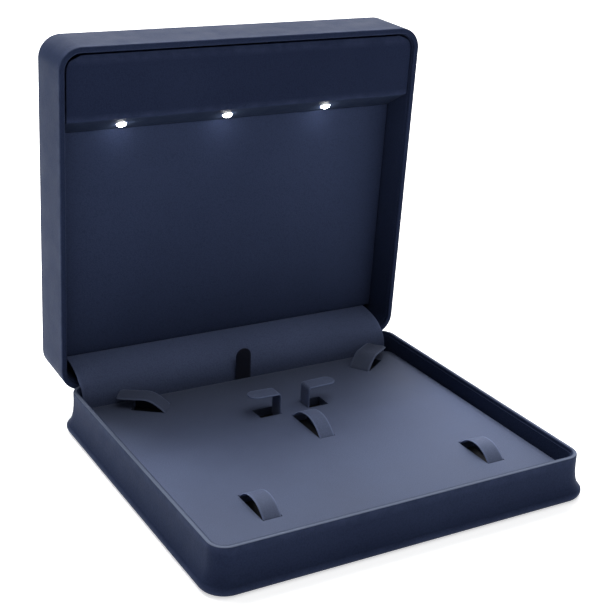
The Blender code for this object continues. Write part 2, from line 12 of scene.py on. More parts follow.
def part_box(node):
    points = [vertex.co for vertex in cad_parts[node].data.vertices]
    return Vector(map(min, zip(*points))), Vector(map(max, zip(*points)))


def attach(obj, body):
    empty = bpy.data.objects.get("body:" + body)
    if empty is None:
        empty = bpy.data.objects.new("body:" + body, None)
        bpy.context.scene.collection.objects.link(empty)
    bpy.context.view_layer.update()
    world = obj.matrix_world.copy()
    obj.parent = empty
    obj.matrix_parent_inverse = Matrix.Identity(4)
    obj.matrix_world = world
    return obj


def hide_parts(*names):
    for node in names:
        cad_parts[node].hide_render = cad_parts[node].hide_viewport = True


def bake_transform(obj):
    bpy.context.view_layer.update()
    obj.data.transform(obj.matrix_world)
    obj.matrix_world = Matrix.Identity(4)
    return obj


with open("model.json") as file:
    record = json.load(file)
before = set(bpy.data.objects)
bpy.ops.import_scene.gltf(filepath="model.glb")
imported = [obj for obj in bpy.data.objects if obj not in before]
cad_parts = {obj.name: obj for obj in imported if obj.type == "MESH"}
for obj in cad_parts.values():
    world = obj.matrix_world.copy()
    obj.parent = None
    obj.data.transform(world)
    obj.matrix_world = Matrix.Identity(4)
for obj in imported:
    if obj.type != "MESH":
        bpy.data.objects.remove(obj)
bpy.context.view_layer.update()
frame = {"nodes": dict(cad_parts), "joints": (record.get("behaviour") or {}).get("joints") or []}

# ---- sizes of the part, in metres ----
hinge = next(j for j in frame["joints"] if j["name"] == "lid_hinge")
PIVOT = Vector(hinge["pos_m"])
OPEN = math.radians(hinge["range_deg"][1])
LID = Matrix.Translation(PIVOT) @ Matrix.Rotation(-OPEN, 4, "X") @ Matrix.Translation(-PIVOT)
BASE_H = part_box("base_shell")[1].z
FLARE = 0.0040                    # how far the tray's foot stands out beyond its rim
RIM_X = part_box("base_shell")[1].x - FLARE
RIM_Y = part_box("base_shell")[1].y - FLARE
WALL = 0.0032
CORNER = 0.0092
GAP = 0.0003                      # between pieces that touch or rest on each other
PAD_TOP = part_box("insert_pad")[1].z
PAD_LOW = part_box("insert_pad")[0].z
LID_Z = BASE_H + GAP              # the closed lid's rim plane
LID_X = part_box("lid_shell")[1].x
OVERHANG = 0.0035                 # lid outline beyond the tray's rim
LID_BACK_Y = RIM_Y + OVERHANG
LID_FRONT_Y = -RIM_Y - OVERHANG
LID_HALF_Y = (LID_BACK_Y - LID_FRONT_Y) / 2
LID_MIDDLE_Y = (LID_BACK_Y + LID_FRONT_Y) / 2
LID_WALL = 0.0036
LID_TOP = 0.0025
LID_H = 0.0350
LID_R = 0.0125
PANEL_Z = LID_Z + 0.0200
HEADER_GAP = 0.0009               # between the header's face and the lid's walls
HEADER_FRONT_Y = LID_FRONT_Y + LID_WALL + HEADER_GAP
HEADER_BACK_Y = HEADER_FRONT_Y + 0.0347
HEADER_Z = LID_Z + 0.0012
SOFFIT_RUN = 0.0107               # how far the lamp strip slopes back along the lid
HEADER_X = LID_X - LID_WALL - HEADER_GAP
LAMP_HOLE = (0.0029, 0.012)       # radius and depth
PANEL_BACK_Y = LID_BACK_Y - 0.0118
STRIP = 0.0009                    # thickness of the covered card strips
SMOOTH_ANGLE = 40.0               # degrees; a sharper edge than this is shaded as an edge


# ---- materials ----
class Nodes:
    """A short way to add nodes and link them."""

    def __init__(self, tree):
        self.tree = tree

    def add(self, kind, inputs=None, **settings):
        made = self.tree.nodes.new(kind)
        for key, value in settings.items():
            setattr(made, key, value)
        for key, value in (inputs or {}).items():
            if isinstance(value, bpy.types.NodeSocket):
                self.tree.links.new(value, made.inputs[key])
            else:
                made.inputs[key].default_value = value
        return made

    def noise(self, where, scale, detail=3.0, rough=0.5):
        return self.add("ShaderNodeTexNoise", {"Vector": where, "Scale": scale, "Detail": detail,
                                               "Roughness": rough}).outputs["Fac"]

    def remap(self, value, low, high, to_low, to_high):
        return self.add("ShaderNodeMapRange", {"Value": value, "From Min": low, "From Max": high,
                                               "To Min": to_low, "To Max": to_high}).outputs["Result"]

    def math(self, how, a, b):
        return self.add("ShaderNodeMath", {0: a, 1: b}, operation=how).outputs[0]

    def mix(self, factor, a, b, how="MIX"):
        made = self.add("ShaderNodeMix", {"Factor": factor}, data_type="RGBA", blend_type=how)
        for socket, value in ((made.inputs[6], a), (made.inputs[7], b)):
            if isinstance(value, bpy.types.NodeSocket):
                self.tree.links.new(value, socket)
            else:
                socket.default_value = (*value, 1.0)
        return made.outputs[2]


def new_material(name):
    made = bpy.data.materials.new(name)
    made.use_nodes = True
    n = Nodes(made.node_tree)
    shader = made.node_tree.nodes["Principled BSDF"]
    where = n.add("ShaderNodeTexCoord").outputs["Object"]
    return made, n, shader, where


def link(n, source, socket):
    n.tree.links.new(source, socket)


# paler rim band colour: a painted highlight where the rim catches the light
RIM_HIGHLIGHT_TONE = (0.1250, 0.1470, 0.2100)
SHADED, PLAIN, RUBBED, PAINTED_HIGHLIGHT = -1.0, 0.0, 1.0, 2.0      # marks of a point: painted shade, plain, rubbed wear, painted highlight


def leatherette(name, dark, light, grain=1250.0, rough=0.46, depth=0.00012, wear=0.5):
    """Coated cloth: pebbled grain, fine creases, uneven tone and rubbed edges, with a paler rim band as a
    painted highlight and a darker strip as painted shade where a point is marked for them."""
    made, n, shader, where = new_material(name)
    pebble = n.add("ShaderNodeTexVoronoi", {"Vector": where, "Scale": grain, "Smoothness": 0.6},
                   feature="SMOOTH_F1").outputs["Distance"]
    crease = n.noise(where, grain * 0.42, 5.0, 0.62)
    broad = n.noise(where, 42.0, 3.0, 0.55)
    cloud = n.noise(where, 11.0, 2.0, 0.5)
    height = n.math("ADD", n.math("MULTIPLY", pebble, -0.75), n.math("MULTIPLY", crease, 0.55))
    height = n.math("ADD", height, n.math("MULTIPLY", broad, 1.4))
    bump = n.add("ShaderNodeBump", {"Height": height, "Strength": 0.55, "Distance": depth})
    link(n, bump.outputs["Normal"], shader.inputs["Normal"])
    tone = n.mix(n.remap(cloud, 0.3, 0.7, 0.0, 1.0), dark, light)
    tone = n.mix(n.remap(pebble, 0.25, 0.75, 0.0, 0.30), tone, [c * 0.45 for c in dark])
    marked = n.add("ShaderNodeAttribute", attribute_name="wear_and_painted_light").outputs["Fac"]
    wear_and_painted_light = n.math("MULTIPLY", n.remap(marked, PLAIN, RUBBED, 0.0, 1.0),
                 n.remap(n.noise(where, 160.0, 4.0, 0.6), 0.35, 0.7, 0.25, 1.0))
    worn = [min(c * 1.9 + 0.012, 1.0) for c in light]
    tone = n.mix(n.math("MULTIPLY", wear_and_painted_light, wear), tone, worn)
    # painted highlight: the rim band turned paler where it is marked
    tone = n.mix(n.remap(marked, RUBBED, PAINTED_HIGHLIGHT, 0.0, 1.0), tone, RIM_HIGHLIGHT_TONE)
    # painted shade: darker where a point is marked shaded
    tone = n.mix(n.remap(marked, SHADED, PLAIN, 1.0, 0.0), tone, [c * 0.45 for c in dark])
    link(n, tone, shader.inputs["Base Color"])
    gloss = n.remap(n.noise(where, 95.0, 3.0, 0.5), 0.3, 0.7, rough - 0.05, rough + 0.06)
    link(n, n.math("SUBTRACT", gloss, n.math("MULTIPLY", wear_and_painted_light, 0.08)), shader.inputs["Roughness"])
    shader.inputs["Specular IOR Level"].default_value = 0.012
    shader.inputs["Specular Tint"].default_value = (0.60, 0.74, 1.0, 1.0)
    shader.inputs["Sheen Weight"].default_value = 0.08
    shader.inputs["Sheen Roughness"].default_value = 0.50
    shader.inputs["Sheen Tint"].default_value = (0.42, 0.58, 1.0, 1.0)
    return made


def velvet(name, dark, light, sheen=0.55, speck=2300.0):
    """Flocked velvet: short pile with specks, and patches where it lies another way; painted light and shade
    along the pad: darkest at the rear where the lid shades it, brightest in the middle, darker again towards
    the front."""
    made, n, shader, where = new_material(name)
    fibre = n.noise(where, speck, 2.0, 0.7)
    nap = n.noise(where, 34.0, 4.0, 0.6)
    cloud = n.noise(where, 8.0, 2.0, 0.5)
    tone = n.mix(n.remap(nap, 0.32, 0.68, 0.0, 1.0), dark, light)
    tone = n.mix(n.remap(fibre, 0.40, 0.62, 0.0, 0.55), tone, [c * 0.42 for c in dark])
    tone = n.mix(n.remap(fibre, 0.60, 0.74, 0.0, 0.35), tone, [c * 1.9 for c in light])
    tone = n.mix(n.remap(cloud, 0.3, 0.7, 0.0, 0.22), tone, [c * 1.25 for c in light])
    wear_and_painted_light = n.add("ShaderNodeAttribute", attribute_name="wear_and_painted_light").outputs["Fac"]
    tone = n.mix(n.math("MULTIPLY", wear_and_painted_light, 0.5), tone, [c * 1.8 for c in light])
    forward = n.add("ShaderNodeSeparateXYZ", {0: where}).outputs["Y"]
    # painted light and shade along Y: dark at the rear under the lid's shadow, brightest in the middle,
    # darker towards the front
    tone = n.mix(1.0, tone, n.remap(forward, 0.080, 0.015, 0.48, 1.45), "MULTIPLY")
    tone = n.mix(1.0, tone, n.remap(forward, 0.010, -0.085, 1.00, 0.56), "MULTIPLY")
    link(n, tone, shader.inputs["Base Color"])
    height = n.math("ADD", n.math("MULTIPLY", fibre, 0.7), n.math("MULTIPLY", nap, 1.2))
    bump = n.add("ShaderNodeBump", {"Height": height, "Strength": 0.6, "Distance": 0.00016})
    link(n, bump.outputs["Normal"], shader.inputs["Normal"])
    link(n, n.remap(nap, 0.3, 0.7, 0.72, 0.86), shader.inputs["Roughness"])
    shader.inputs["Specular IOR Level"].default_value = 0.35
    shader.inputs["Sheen Weight"].default_value = sheen
    shader.inputs["Sheen Roughness"].default_value = 0.38
    shader.inputs["Sheen Tint"].default_value = (0.50, 0.60, 0.92, 1.0)
    return made


def plain(name, colour, rough, metallic=0.0, scale=300.0, depth=0.00005, stretch=(1.0, 1.0, 1.0)):
    """Metal, plastic or card: fine grain in tone, gloss and surface, drawn out along one way."""
    made, n, shader, where = new_material(name)
    drawn = n.add("ShaderNodeMapping", {"Vector": where, "Scale": stretch}).outputs["Vector"]
    grain = n.noise(drawn, scale, 4.0, 0.6)
    tone = n.mix(n.remap(grain, 0.3, 0.7, 0.0, 1.0), [c * 0.78 for c in colour],
                 [min(c * 1.12, 1.0) for c in colour])
    link(n, tone, shader.inputs["Base Color"])
    link(n, n.remap(grain, 0.3, 0.7, rough - 0.07, rough + 0.07), shader.inputs["Roughness"])
    bump = n.add("ShaderNodeBump", {"Height": grain, "Strength": 0.4, "Distance": depth})
    link(n, bump.outputs["Normal"], shader.inputs["Normal"])
    shader.inputs["Metallic"].default_value = metallic
    return made


def lamp_lens(name):
    """A lit lens, brightest where it is seen straight on."""
    made, n, shader, where = new_material(name)
    facing = n.add("ShaderNodeLayerWeight", {"Blend": 0.35}).outputs["Facing"]
    grain = n.noise(where, 900.0, 2.0, 0.5)
    link(n, n.mix(grain, (0.93, 0.95, 1.0), (1.0, 1.0, 1.0)), shader.inputs["Base Color"])
    link(n, n.remap(facing, 0.0, 1.0, 50.0, 20.0), shader.inputs["Emission Strength"])
    shader.inputs["Emission Color"].default_value = (1.0, 0.985, 0.95, 1.0)
    shader.inputs["Roughness"].default_value = 0.12
    shader.inputs["Coat Weight"].default_value = 0.4
    return made


NAVY_DARK = (0.0140, 0.0200, 0.0470)
NAVY_LIGHT = (0.0190, 0.0270, 0.0600)
HIDE = leatherette("navy_leatherette", NAVY_DARK, NAVY_LIGHT)
LINING = leatherette("lining_leatherette", (0.0120, 0.0175, 0.0430), (0.0165, 0.0235, 0.0540), 1500.0, 0.50,
                     0.00010)
# a lighter copy of the lid's leatherette: painted light from above and in front
PANEL_LIT = leatherette("panel_leatherette", (0.0290, 0.0400, 0.0850), (0.0365, 0.0495, 0.1020), 1500.0, 0.50,
                    0.00010)
# a lighter copy of the navy leatherette: painted light on the apron, which faces up and forward
APRON_LIT = leatherette("apron_leatherette", (0.0780, 0.0990, 0.1800), (0.0920, 0.1160, 0.2100), 1350.0, 0.50)
VELVET = velvet("pad_velvet", (0.0740, 0.0940, 0.1680), (0.0930, 0.1170, 0.2000))
VELVET_TAB = velvet("tab_velvet", (0.0090, 0.0130, 0.0380), (0.0130, 0.0180, 0.0480), 0.15)
FELT = velvet("base_felt", (0.0080, 0.0080, 0.0110), (0.0140, 0.0140, 0.0180), 0.2, 1500.0)
CARD = plain("dark_card", (0.020, 0.021, 0.027), 0.85, 0.0, 700.0, 0.00010)
STEEL = plain("hinge_steel", (0.60, 0.60, 0.62), 0.30, 1.0, 900.0, 0.00003, (0.05, 1.0, 1.0))
SPRING_STEEL = plain("spring_steel", (0.34, 0.34, 0.36), 0.35, 1.0, 1500.0, 0.00002)
GREEN = plain("solder_mask", (0.015, 0.110, 0.045), 0.40, 0.0, 500.0)
BLACK = plain("black_plastic", (0.018, 0.018, 0.020), 0.48, 0.0, 800.0, 0.00006)
CELL = plain("cell_steel", (0.70, 0.70, 0.71), 0.22, 1.0, 600.0, 0.00002)
RED = plain("red_lead", (0.42, 0.02, 0.02), 0.42, 0.0, 500.0)
LEAD = plain("black_lead", (0.018, 0.018, 0.018), 0.42, 0.0, 500.0)
LENS = lamp_lens("led_lens")
BEZEL = plain("lamp_bezel", (0.045, 0.050, 0.065), 0.35, 0.8, 900.0, 0.00002)

CAD_LOOKS = {
    "base_bottom_cover": FELT, "riser_frame": CARD, "cover_anchor_strip": CARD, "insert_board": CARD,
    "hinge_base_leaf_left": STEEL, "hinge_base_leaf_right": STEEL, "hinge_lid_leaf_left": STEEL,
    "hinge_lid_leaf_right": STEEL, "hinge_pin_left": STEEL, "hinge_pin_right": STEEL,
    "hinge_spring_left": SPRING_STEEL, "hinge_spring_right": SPRING_STEEL, "panel_spacer_left": CARD,
    "panel_spacer_right": CARD, "led_board": GREEN, "battery_holder": BLACK, "coin_cell_left": CELL,
    "coin_cell_right": CELL, "light_switch_body": BLACK, "light_switch_plunger": BLACK,
    "supply_lead": RED, "switch_lead": LEAD, "led_left": LENS, "led_center": LENS, "led_right": LENS,
}
for node, look in CAD_LOOKS.items():
    data = frame["nodes"][node].data
    data.materials.clear()
    data.materials.append(look)


# ---- mesh helpers ----
def finish_mesh(name, verts, faces, look, matrix=None, wear_and_painted_light=None, sharp=SMOOTH_ANGLE):
    """A mesh object from points and faces, outward facing, with its material and its marks for rubbed edges,
    painted highlight and painted shade.
    """
    mesh = bpy.data.meshes.new(name)
    mesh.from_pydata([tuple(v) for v in verts], [], faces)
    if matrix is not None:
        mesh.transform(matrix)
    bm = bmesh.new()
    bm.from_mesh(mesh)
    bmesh.ops.recalc_face_normals(bm, faces=bm.faces)
    bm.to_mesh(mesh)
    bm.free()
    if wear_and_painted_light is not None:
        layer = mesh.attributes.new("wear_and_painted_light", "FLOAT", "POINT")
        layer.data.foreach_set("value", np.asarray(wear_and_painted_light, np.float32))
    mesh.shade_smooth()
    mesh.set_sharp_from_angle(angle=math.radians(sharp))
    made = bpy.data.objects.new(name, mesh)
    bpy.context.scene.collection.objects.link(made)
    mesh.materials.append(look)
    return made


def ring(half_x, half_y, radius, corner=14, side=22):
    """Points round a rounded rectangle, with the straight sides divided too."""
    points = []
    for quarter in range(4):
        sx = (1, -1, -1, 1)[quarter]
        sy = (1, 1, -1, -1)[quarter]
        for i in range(corner + 1):
            a = math.pi / 2 * (quarter + i / corner)
            points.append((sx * (half_x - radius) + radius * math.cos(a),
                           sy * (half_y - radius) + radius * math.sin(a)))
        nx = (-1, -1, 1, 1)[quarter]
        ny = (1, -1, -1, 1)[quarter]
        a = math.pi / 2 * (quarter + 1)
        end = (nx * (half_x - radius) + radius * math.cos(a), ny * (half_y - radius) + radius * math.sin(a))
        start = points[-1]
        for i in range(1, side):
            t = i / side
            points.append((start[0] + (end[0] - start[0]) * t, start[1] + (end[1] - start[1]) * t))
    return points


def loft(name, sections, look, matrix=None, centre_y=0.0, wear_and_painted_light_at=()):
    """A closed body through rounded rectangles (half_x, half_y, radius, z); the marks list gives worn
    sections, and sections with painted highlight and painted shade.
    """
    verts, faces, wear_and_painted_light = [], [], []
    marks = dict(wear_and_painted_light_at)
    for index, (hx, hy, r, z) in enumerate(sections):
        points = ring(hx, hy, max(r, 0.0006))
        verts += [(x, y + centre_y, z) for x, y in points]
        wear_and_painted_light += [marks.get(index, PLAIN)] * len(points)
    count = len(verts) // len(sections)
    for k in range(len(sections) - 1):
        for i in range(count):
            j = (i + 1) % count
            faces.append((k * count + i, k * count + j, (k + 1) * count + j, (k + 1) * count + i))
    faces.append(tuple(range(count)))
    faces.append(tuple(range((len(sections) - 1) * count, len(sections) * count)))
    return finish_mesh(name, verts, faces, look, matrix, wear_and_painted_light)


def quarter_turn(from_offset, from_z, to_offset, to_z, steps, bulge):
    """Points on an elliptic quarter between two profile points; bulge 'z' leaves along z, 'x' along x."""
    found = []
    for i in range(1, steps + 1):
        a = math.pi / 2 * i / steps
        s, c = math.sin(a), 1.0 - math.cos(a)
        u, v = (c, s) if bulge == "z" else (s, c)
        found.append((from_offset + (to_offset - from_offset) * u, from_z + (to_z - from_z) * v))
    return found


def cut_windows(target, windows):
    """Boxes (matrix, three sizes) or round holes (matrix, radius and depth) taken out of a piece."""
    for i, (matrix, size) in enumerate(windows):
        bm = bmesh.new()
        if len(size) == 3:
            bmesh.ops.create_cube(bm, size=1.0, matrix=matrix @ Matrix.Diagonal((*size, 1.0)))
        else:
            bmesh.ops.create_cone(bm, cap_ends=True, segments=40, radius1=size[0], radius2=size[0],
                                  depth=size[1], matrix=matrix)
        mesh = bpy.data.meshes.new(f"window_{i}")
        bm.to_mesh(mesh)
        bm.free()
        cutter = bpy.data.objects.new(f"window_{i}", mesh)
        bpy.context.scene.collection.objects.link(cutter)
        step = target.modifiers.new(cutter.name, "BOOLEAN")
        step.operation = "DIFFERENCE"
        step.solver = "EXACT"
        step.object = cutter
    bpy.context.view_layer.update()
    baked = bpy.data.meshes.new_from_object(target.evaluated_get(bpy.context.evaluated_depsgraph_get()))
    for step in list(target.modifiers):
        cutter = step.object
        target.modifiers.remove(step)
        bpy.data.objects.remove(cutter)
    baked.name = target.name
    old = target.data
    target.data = baked
    bpy.data.meshes.remove(old)
    target.data.shade_smooth()
    target.data.set_sharp_from_angle(angle=math.radians(SMOOTH_ANGLE))


def band(name, path, side, widths, thickness, look, crown=0.0):
    """A strip of cloth-covered card along a path: closed, with thin rounded edges and a little crown."""
    across = Vector(side).normalized()
    stops = (-1.0, -0.985, -0.93, -0.75, -0.4, 0.0, 0.4, 0.75, 0.93, 0.985, 1.0)
    verts, faces, wear_and_painted_light = [], [], []
    path = [Vector(p) for p in path]
    for k, (point, width) in enumerate(zip(path, widths)):
        along = (path[min(k + 1, len(path) - 1)] - path[max(k - 1, 0)]).normalized()
        normal = along.cross(across).normalized()
        loop = []
        for u in stops:
            loop.append((u, thickness / 2 * (1.0 - abs(u) ** 14) ** 0.5 + crown * (1.0 - u * u)))
        for u in reversed(stops[1:-1]):
            loop.append((u, -thickness / 2 * (1.0 - abs(u) ** 14) ** 0.5 + crown * (1.0 - u * u)))
        for u, h in loop:
            verts.append(point + across * width / 2 * u + normal * h)
            wear_and_painted_light.append(1.0 if abs(u) > 0.9 else 0.0)
    count = 2 * len(stops) - 2
    for k in range(len(path) - 1):
        for i in range(count):
            j = (i + 1) % count
            faces.append((k * count + i, k * count + j, (k + 1) * count + j, (k + 1) * count + i))
    faces.append(tuple(range(count)))
    faces.append(tuple(range((len(path) - 1) * count, len(path) * count)))
    return finish_mesh(name, verts, faces, look, None, wear_and_painted_light, 55.0)


def stand_for(piece, body, slot, *nodes):
    """The piece rides on a body and replaces CAD nodes; the slot argument is not used."""
    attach(piece, body)
    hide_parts(*nodes)


def rim_marks(rim_start, rim_end):
    """Worn sections of a rim: its outer edge, and less so its inner one."""
    outer = [(i, 0.8) for i in range(rim_end - 5, rim_end)]
    return outer + [(i, 0.35) for i in range(rim_start, rim_start + 4)]


def hinge_middles():
    """The middle and the length along X of each hinge's leaves."""
    for side in ("left", "right"):
        low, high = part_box(f"hinge_base_leaf_{side}")
        yield (low.x + high.x) / 2, high.x - low.x


# ---- tray ----
def tray():
    """The leatherette over the whole tray, from its inner wall over the rim and the flare to the foot."""
    def at(offset, z, radius=None):
        return (RIM_X + offset, RIM_Y + offset, CORNER + offset if radius is None else radius, z)

    profile = [(-WALL - 0.0008, 0.0031), (-WALL, 0.0040), (-WALL, 0.0140), (-WALL, BASE_H - 0.0021)]
    profile += quarter_turn(-WALL, BASE_H - 0.0021, -WALL + 0.00035, BASE_H - 0.00172, 3, "z")
    profile += [(-WALL + 0.00052, BASE_H - 0.00185), (-WALL + 0.00060, BASE_H - 0.0017)]
    inner_lip = -WALL + 0.00060
    profile += [(inner_lip, BASE_H - 0.0007)]
    rim_start = len(profile)
    profile += quarter_turn(inner_lip, BASE_H - 0.0007, inner_lip + 0.0007, BASE_H, 5, "z")
    for offset, sunk in ((-0.00178, 0.00012), (-0.00168, 0.00026), (-0.00158, 0.00012)):
        profile.append((offset, BASE_H - sunk))
    profile += [(-0.00148, BASE_H), (-0.0008, BASE_H)]
    rim_flat = (rim_start + 4, len(profile) + 3)
    profile += quarter_turn(-0.0008, BASE_H, 0.0, BASE_H - 0.0008, 6, "x")
    rim_end = len(profile)
    flare = [(0.0, 0.0185), (0.0001, 0.0150), (0.0004, 0.0118), (0.0009, 0.0094), (0.0015, 0.0077),
             (0.0021, 0.0065), (0.0026, 0.0057), (0.00285, 0.0053), (0.0031, 0.00505), (0.0035, 0.0047),
             (0.0039, 0.0041), (0.0040, 0.0035), (0.0040, 0.0029), (0.0038, 0.0022), (0.0034, 0.0014),
             (0.0028, 0.0007), (0.0022, 0.0003), (0.0012, 0.0)]
    profile += flare
    sections = [at(o, z) for o, z in profile]
    inset = -0.0050
    sections += [at(inset, 0.0), at(inset, 0.0012)]
    wear_and_painted_light_at = rim_marks(rim_start, rim_end)
    # the rim's flat band gets the painted highlight
    wear_and_painted_light_at += [(i, PAINTED_HIGHLIGHT) for i in range(*rim_flat)]
    bead = rim_end + 9
    wear_and_painted_light_at += [(i, 0.45) for i in range(bead, bead + 5)]
    piece = loft("tray_wrap", sections, HIDE, wear_and_painted_light_at=wear_and_painted_light_at)
    notches = []
    for middle, length in hinge_middles():
        place = Matrix.Translation((middle, RIM_Y - 0.0002, BASE_H + 0.00145))
        notches.append((place, (length + 0.0012, 0.012, 0.0091)))
    cut_windows(piece, notches)
    stand_for(piece, "base", "leatherette", "base_shell")


# ---- lid ----
def lid():
    """The leatherette over the lid, inside and outside, made closed and then swung open."""
    def at(offset, z):
        return (LID_X + offset, LID_HALF_Y + offset, LID_R + offset, z)

    top = LID_Z + LID_H
    ceiling = top - LID_TOP
    inner = -LID_WALL
    profile = [(inner - 0.0008, ceiling - 0.0001), (inner, ceiling - 0.0009), (inner, LID_Z + 0.0150),
               (inner, LID_Z + 0.0021)]
    profile += quarter_turn(inner, LID_Z + 0.0021, inner + 0.00035, LID_Z + 0.00172, 3, "z")
    lip = inner + 0.00060
    profile += [(inner + 0.00052, LID_Z + 0.00185), (lip, LID_Z + 0.0017), (lip, LID_Z + 0.0007)]
    rim_start = len(profile)
    profile += quarter_turn(lip, LID_Z + 0.0007, lip + 0.0007, LID_Z, 5, "z")
    profile += [(-0.0014, LID_Z), (-0.0008, LID_Z)]
    profile += quarter_turn(-0.0008, LID_Z, 0.0, LID_Z + 0.0008, 6, "x")
    rim_end = len(profile)
    profile += [(0.0, LID_Z + 0.006), (0.0, LID_Z + 0.012), (0.0, LID_Z + 0.020), (0.0, top - 0.0032)]
    edge_start = len(profile)
    profile += quarter_turn(0.0, top - 0.0032, -0.0032, top, 9, "z")
    sections = [at(o, z) for o, z in profile]
    sections += [at(-0.0085, top), (LID_X - 0.03, LID_HALF_Y - 0.03, 0.004, top)]
    wear_and_painted_light_at = rim_marks(rim_start, rim_end)
    wear_and_painted_light_at += [(i, 0.5) for i in range(edge_start + 2, edge_start + 8)]
    piece = loft("lid_wrap", sections, HIDE, LID, LID_MIDDLE_Y, wear_and_painted_light_at)
    notches = []
    for middle, length in hinge_middles():
        place = Matrix.Translation((middle, LID_BACK_Y - 0.0015, LID_Z - 0.0006))
        notches.append((LID @ place, (length + 0.0012, 0.0135, 0.0068)))
    cut_windows(piece, notches)
    stand_for(piece, "lid", "leatherette", "lid_shell")


def lid_lining():
    """The lining board, with its cover turned over the edges and a little softness in the middle."""
    front = HEADER_BACK_Y + SOFFIT_RUN
    back = PANEL_BACK_Y
    half_x = LID_X - LID_WALL - 0.0007
    half_y = (back - front) / 2
    centre = (back + front) / 2
    z = PANEL_Z
    sections = [(half_x, half_y, 0.0006, z + 0.0020), (half_x, half_y, 0.0006, z + 0.0006)]
    for offset, dz in quarter_turn(0.0, 0.0006, 0.0006, 0.0, 4, "z"):
        sections.append((half_x - offset, half_y - offset, 0.0006, z + dz))
    for inset, lift in ((0.004, 0.00002), (0.012, -0.00012), (0.025, -0.00028), (0.045, -0.00036)):
        sections.append((half_x - inset, half_y - inset, 0.0006, z + lift))
    piece = loft("lid_lining", sections, PANEL_LIT, LID, centre)
    stand_for(piece, "lid", "leatherette", "lid_back_panel")


def header():
    """One cover folded round the header's lower edge: its face, the fold and the sloped lamp strip."""
    corner = LID_R - LID_WALL - HEADER_GAP
    steps_x = 60
    fold = 0.0009
    slope_start = Vector((HEADER_BACK_Y, HEADER_Z))
    slope_end = Vector((HEADER_BACK_Y + SOFFIT_RUN, PANEL_Z - GAP))
    slope = (slope_end - slope_start).normalized()
    line = []
    for i in range(13):
        t = i / 12
        y = HEADER_FRONT_Y + (HEADER_BACK_Y - fold - HEADER_FRONT_Y) * t
        line.append((y, HEADER_Z))
    turn = math.atan2(slope.y, slope.x)
    for i in range(1, 7):
        a = turn * i / 6
        line.append((HEADER_BACK_Y - fold + fold * math.sin(a) * 1.15,
                     HEADER_Z + fold * (1 - math.cos(a)) * 1.15))
    first = Vector(line[-1])
    for i in range(1, 9):
        point = first.lerp(slope_end, i / 8)
        line.append((point.x, point.y))
    thickness = 0.0015
    verts, faces, wear_and_painted_light = [], [], []
    rows = len(line)
    for layer in range(2):
        for k, (y, z) in enumerate(line):
            a = Vector(line[max(k - 1, 0)])
            b = Vector(line[min(k + 1, rows - 1)])
            along = (b - a).normalized()
            inward = Vector((-along.y, along.x)) * thickness * layer
            from_front = y - HEADER_FRONT_Y
            half = HEADER_X
            if from_front < corner:
                half = HEADER_X - corner + math.sqrt(max(corner ** 2 - (corner - from_front) ** 2, 0.0))
            for i in range(steps_x + 1):
                u = -1.0 + 2.0 * i / steps_x
                edge = min(1.0 - abs(u), 0.012) / 0.012
                ease = 0.0005 * (1.0 - edge) ** 2 if layer == 0 else 0.0
                if layer == 0 and k == 0:
                    ease = 0.0005
                verts.append((half * u, y + inward.x, z + inward.y + ease))
                # rubbed wear at the face's edge and on the fold; painted shade on the sloped lamp strip
                mark = 0.7 if k < 2 else 0.9 if 12 <= k <= 16 else SHADED if k > 18 else PLAIN
                wear_and_painted_light.append(mark if layer == 0 else PLAIN)
    width = steps_x + 1

    def vertex(layer, k, i):
        return (layer * rows + k) * width + i

    for layer in range(2):
        for k in range(rows - 1):
            for i in range(steps_x):
                faces.append((vertex(layer, k, i), vertex(layer, k, i + 1), vertex(layer, k + 1, i + 1),
                              vertex(layer, k + 1, i)))
    for k in range(rows - 1):
        for i in (0, steps_x):
            faces.append((vertex(0, k, i), vertex(0, k + 1, i), vertex(1, k + 1, i), vertex(1, k, i)))
    for i in range(steps_x):
        for k in (0, rows - 1):
            faces.append((vertex(0, k, i), vertex(0, k, i + 1), vertex(1, k, i + 1), vertex(1, k, i)))
    piece = finish_mesh("header_wrap", verts, faces, LINING, LID, wear_and_painted_light, 50.0)
    holes = []
    for label in ("left", "center", "right"):
        low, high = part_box(f"led_{label}")
        middle = (low + high) / 2
        facing = LID.to_3x3() @ Vector((0.0, slope.y, -slope.x))
        turned = facing.to_track_quat("Z", "Y").to_matrix().to_4x4()
        holes.append((Matrix.Translation(middle) @ turned, LAMP_HOLE))
        bezel(label, middle, facing)
    cut_windows(piece, holes)
    stand_for(piece, "lid", "leatherette", "header_fascia", "light_soffit")


def bezel(label, middle, facing):
    """The thin metal ring round a lamp."""
    verts, faces = [], []
    turned = facing.to_track_quat("Z", "Y").to_matrix()
    segments, sides = 32, 8
    lift = 0.0012
    for i in range(segments):
        a = 2 * math.pi * i / segments
        for j in range(sides):
            b = 2 * math.pi * j / sides
            radius = 0.00290 + 0.00095 * math.cos(b)
            spot = Vector((radius * math.cos(a), radius * math.sin(a), 0.00028 * math.sin(b) + lift))
            verts.append(middle + turned @ spot)
    for i in range(segments):
        for j in range(sides):
            k = (i + 1) % segments
            m = (j + 1) % sides
            faces.append((i * sides + j, k * sides + j, k * sides + m, i * sides + m))
    piece = finish_mesh(f"led_bezel_{label}", verts, faces, BEZEL)
    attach(piece, "lid")


